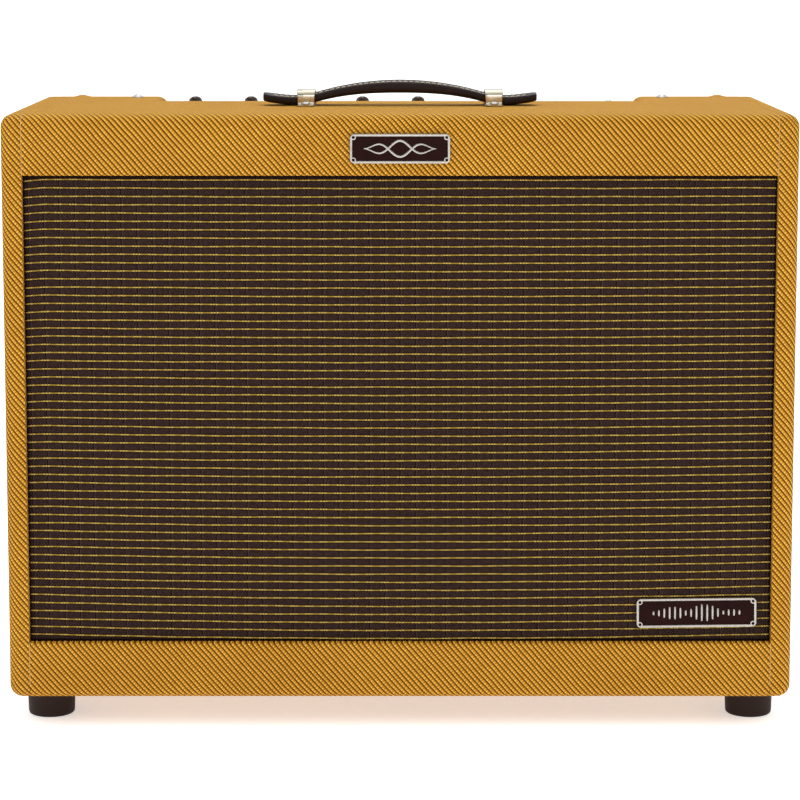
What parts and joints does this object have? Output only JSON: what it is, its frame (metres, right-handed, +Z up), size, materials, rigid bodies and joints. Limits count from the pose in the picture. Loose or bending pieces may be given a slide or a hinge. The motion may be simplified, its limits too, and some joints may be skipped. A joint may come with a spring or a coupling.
{
  "type": "guitar combo amplifier",
  "caption": "Open-back guitar combo amplifier in woven covering, with a striped grille, carrying strap, feet and a recessed top-rear control panel.",
  "frame": {"origin": "on the floor below the middle of the cabinet", "axes": "+Z up, +Y to the back, +X to the right of someone facing the grille"},
  "size_m": [0.61, 0.2631, 0.4993],
  "materials": {
    "tweed": "lacquered diagonal twill covering",
    "grille_cloth": "dark woven cloth with thin gold stripes",
    "baffle_paint": "matt black painted plywood",
    "rubber": "moulded, satin",
    "badge": "dark enamel field in a plated rim",
    "leather": "stitched strap, semi-gloss",
    "nickel": "polished nickel plate",
    "panel_chrome": "polished control panel",
    "plated_steel": "zinc-plated sheet",
    "knob_plastic": "dark brown moulding",
    "moulded_plastic": "black moulding",
    "jewel": "faceted amber lens",
    "valve_glass": "clear glass envelope",
    "transformer_paint": "black lacquered laminations",
    "board_fibre": "brown fibre board",
    "basket_paint": "dark enamel on pressed steel",
    "magnet_paint": "black ferrite between plated steel",
    "cone_paper": "pressed grey-black pulp",
    "surround_cloth": "doped cloth roll",
    "spider_cloth": "resin-stiffened corrugated cloth"
  },
  "bodies": {
    "cabinet": {"left_side_board": "tweed", "right_side_board": "tweed", "top_board": "tweed", "bottom_board": "tweed", "upper_front_panel": "tweed", "lower_front_panel": "tweed", "baffle_board": "baffle_paint", "grille_cloth": "grille_cloth", "upper_back_panel": "tweed", "lower_back_panel": "tweed", "foot_front_left": "rubber", "foot_front_right": "rubber", "foot_rear_left": "rubber", "foot_rear_right": "rubber", "front_badge": "badge", "grille_badge": "badge", "handle_clip_left": "nickel", "handle_clip_right": "nickel", "handle_screw_left_front": "nickel", "handle_screw_left_rear": "nickel", "handle_screw_right_front": "nickel", "handle_screw_right_rear": "nickel", "chassis_screw_left": "nickel", "chassis_screw_right": "nickel", "chassis": "plated_steel", "control_panel": "panel_chrome", "potentiometer_1": "plated_steel", "potentiometer_2": "plated_steel", "potentiometer_3": "plated_steel", "potentiometer_4": "plated_steel", "potentiometer_5": "plated_steel", "toggle_switch_body": "plated_steel", "pilot_lamp_bezel": "nickel", "pilot_jewel": "jewel", "input_jack": "plated_steel", "preamp_valve_1": "valve_glass", "preamp_valve_2": "valve_glass", "power_valve_1": "valve_glass", "power_valve_2": "valve_glass", "power_transformer": "transformer_paint", "output_transformer": "transformer_paint", "circuit_board": "board_fibre", "mains_inlet": "moulded_plastic", "speaker_basket": "basket_paint", "speaker_magnet": "magnet_paint", "speaker_surround": "surround_cloth", "speaker_spider": "spider_cloth"},
    "knob_1": {"knob_1": "knob_plastic", "shaft_1": "plated_steel"},
    "knob_2": {"knob_2": "knob_plastic", "shaft_2": "plated_steel"},
    "knob_3": {"knob_3": "knob_plastic", "shaft_3": "plated_steel"},
    "knob_4": {"knob_4": "knob_plastic", "shaft_4": "plated_steel"},
    "knob_5": {"knob_5": "knob_plastic", "shaft_5": "plated_steel"},
    "power_toggle": {"toggle_lever": "nickel"},
    "handle": {"handle_strap": "leather"},
    "cone": {"speaker_cone": "cone_paper"}
  },
  "joints": [
    {"name": "knob_1_turn", "type": "hinge", "parent": "cabinet", "child": "knob_1", "pos_m": [-0.1716, 0.088, 0.4638], "axis": [0, 0, 1], "range_deg": [-150, 150]},
    {"name": "knob_2_turn", "type": "hinge", "parent": "cabinet", "child": "knob_2", "pos_m": [-0.1249, 0.088, 0.4638], "axis": [0, 0, 1], "range_deg": [-150, 150]},
    {"name": "knob_3_turn", "type": "hinge", "parent": "cabinet", "child": "knob_3", "pos_m": [-0.0782, 0.088, 0.4638], "axis": [0, 0, 1], "range_deg": [-150, 150]},
    {"name": "knob_4_turn", "type": "hinge", "parent": "cabinet", "child": "knob_4", "pos_m": [-0.0315, 0.088, 0.4638], "axis": [0, 0, 1], "range_deg": [-150, 150]},
    {"name": "knob_5_turn", "type": "hinge", "parent": "cabinet", "child": "knob_5", "pos_m": [0.0152, 0.088, 0.4638], "axis": [0, 0, 1], "range_deg": [-150, 150]},
    {"name": "power_toggle_tilt", "type": "hinge", "parent": "cabinet", "child": "power_toggle", "pos_m": [0.1744, 0.088, 0.4674], "axis": [1, 0, 0], "range_deg": [-26, 0]},
    {"name": "handle_lift", "type": "slide", "parent": "cabinet", "child": "handle", "axis": [0, 0, 1], "range_m": [0, 0.001]},
    {"name": "cone_travel", "type": "slide", "parent": "cabinet", "child": "cone", "axis": [0, 1, 0], "range_m": [-0.003, 0.003], "stiffness_N_per_m": 4000}
  ]
}
